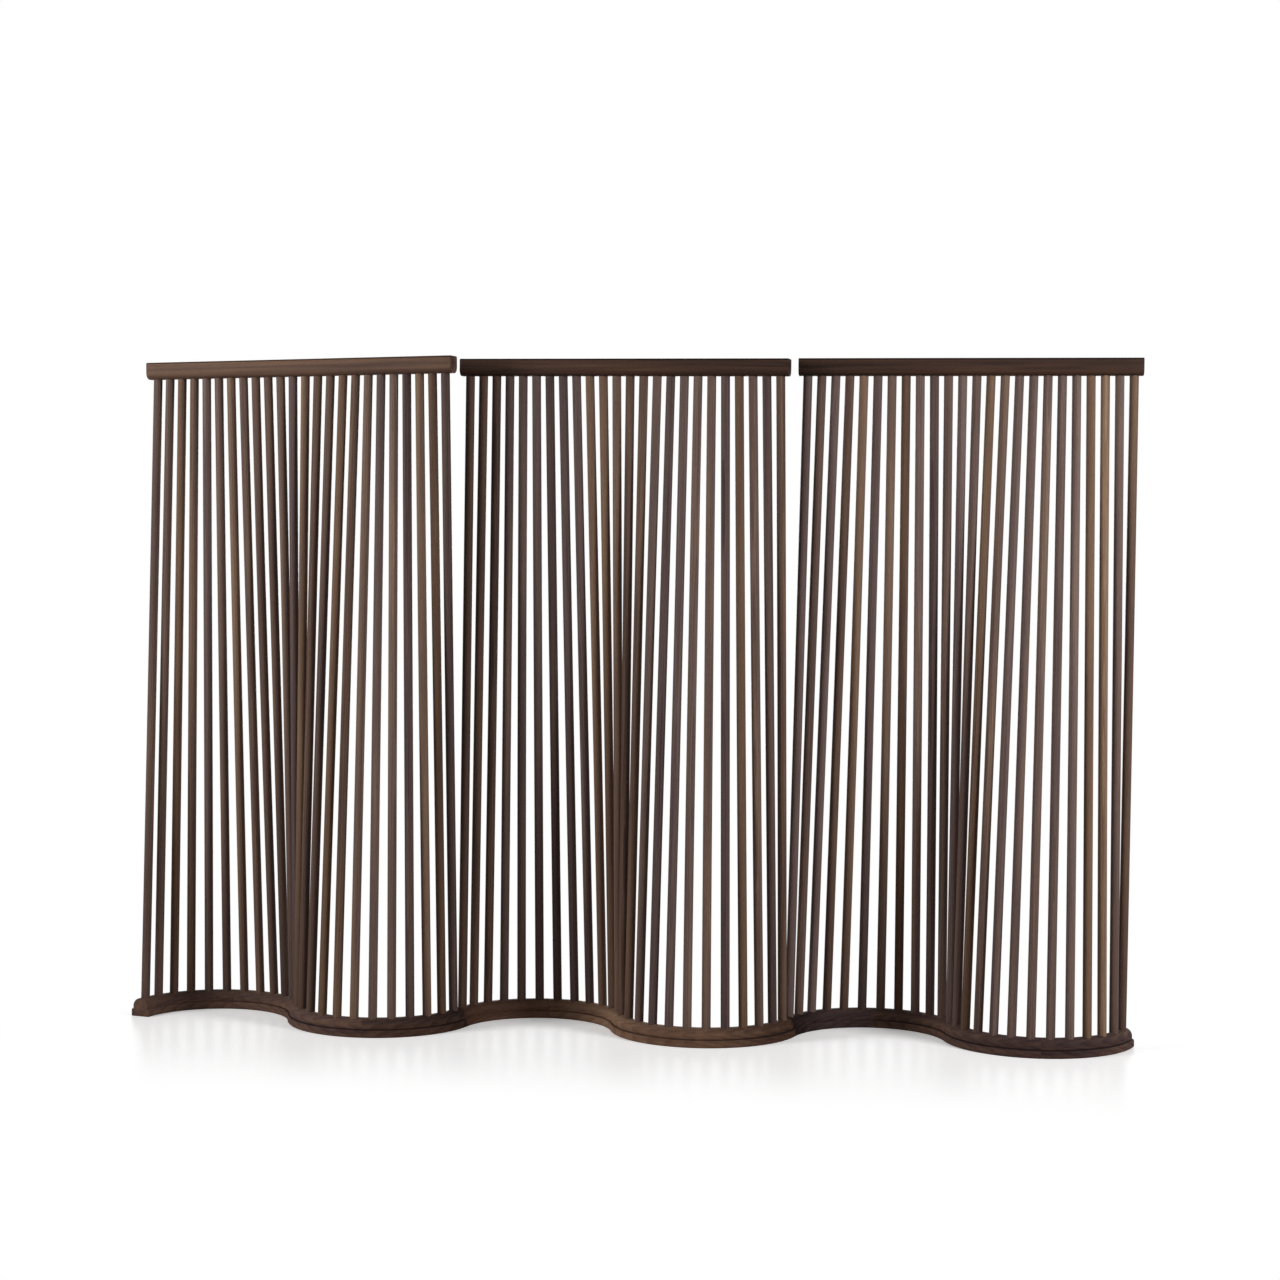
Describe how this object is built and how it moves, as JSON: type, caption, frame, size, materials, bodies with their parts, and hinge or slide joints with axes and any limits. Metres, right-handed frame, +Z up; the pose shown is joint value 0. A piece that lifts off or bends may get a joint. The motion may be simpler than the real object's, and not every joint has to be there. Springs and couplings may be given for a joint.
{
  "type": "room divider",
  "caption": "Free-standing wooden room divider: straight top rails, S-curved bases and slender round rods that fan between them as a rippling, see-through wall.",
  "frame": {"origin": "on the floor, under the middle of the centre module, which is the bottom centre of the whole row's box", "axes": "+X along the row to the right as seen from the front, +Y away from the front, +Z up"},
  "size_m": [2.719, 0.396, 1.8043],
  "materials": {
    "rod_wood": "stained dark walnut tones, satin, uneven from rod to rod",
    "rail_wood": "stained dark walnut, satin",
    "base_wood": "stained very dark walnut, satin",
    "tenon_wood": "plain sawn hardwood, hidden"
  },
  "bodies": {
    "left_module": {"left_top_rail": "rail_wood", "left_base_segment_1": "base_wood", "left_base_segment_2": "base_wood", "left_base_segment_3": "base_wood", "left_base_segment_4": "base_wood", "left_seam_tenons": "tenon_wood", "left_rods_01_02": "rod_wood", "left_rods_03_04": "rod_wood", "left_rods_05_06": "rod_wood", "left_rods_07_08": "rod_wood", "left_rods_09_10": "rod_wood", "left_rods_11_12": "rod_wood", "left_rods_13_14": "rod_wood", "left_rods_15_16": "rod_wood", "left_rods_17_18": "rod_wood", "left_rods_19_20": "rod_wood", "left_rods_21_22": "rod_wood", "left_rods_23_24": "rod_wood"},
    "centre_module": {"centre_top_rail": "rail_wood", "centre_base_segment_1": "base_wood", "centre_base_segment_2": "base_wood", "centre_base_segment_3": "base_wood", "centre_base_segment_4": "base_wood", "centre_seam_tenons": "tenon_wood", "centre_rods_01_02": "rod_wood", "centre_rods_03_04": "rod_wood", "centre_rods_05_06": "rod_wood", "centre_rods_07_08": "rod_wood", "centre_rods_09_10": "rod_wood", "centre_rods_11_12": "rod_wood", "centre_rods_13_14": "rod_wood", "centre_rods_15_16": "rod_wood", "centre_rods_17_18": "rod_wood", "centre_rods_19_20": "rod_wood", "centre_rods_21_22": "rod_wood", "centre_rods_23_24": "rod_wood"},
    "right_module": {"right_top_rail": "rail_wood", "right_base_segment_1": "base_wood", "right_base_segment_2": "base_wood", "right_base_segment_3": "base_wood", "right_base_segment_4": "base_wood", "right_seam_tenons": "tenon_wood", "right_rods_01_02": "rod_wood", "right_rods_03_04": "rod_wood", "right_rods_05_06": "rod_wood", "right_rods_07_08": "rod_wood", "right_rods_09_10": "rod_wood", "right_rods_11_12": "rod_wood", "right_rods_13_14": "rod_wood", "right_rods_15_16": "rod_wood", "right_rods_17_18": "rod_wood", "right_rods_19_20": "rod_wood", "right_rods_21_22": "rod_wood", "right_rods_23_24": "rod_wood"}
  },
  "joints": [
    {"name": "left_module_slide", "type": "slide", "parent": "centre_module", "child": "left_module", "axis": [-1, 0, 0], "range_m": [0, 0.6]},
    {"name": "right_module_slide", "type": "slide", "parent": "centre_module", "child": "right_module", "axis": [1, 0, 0], "range_m": [0, 0.6]}
  ]
}
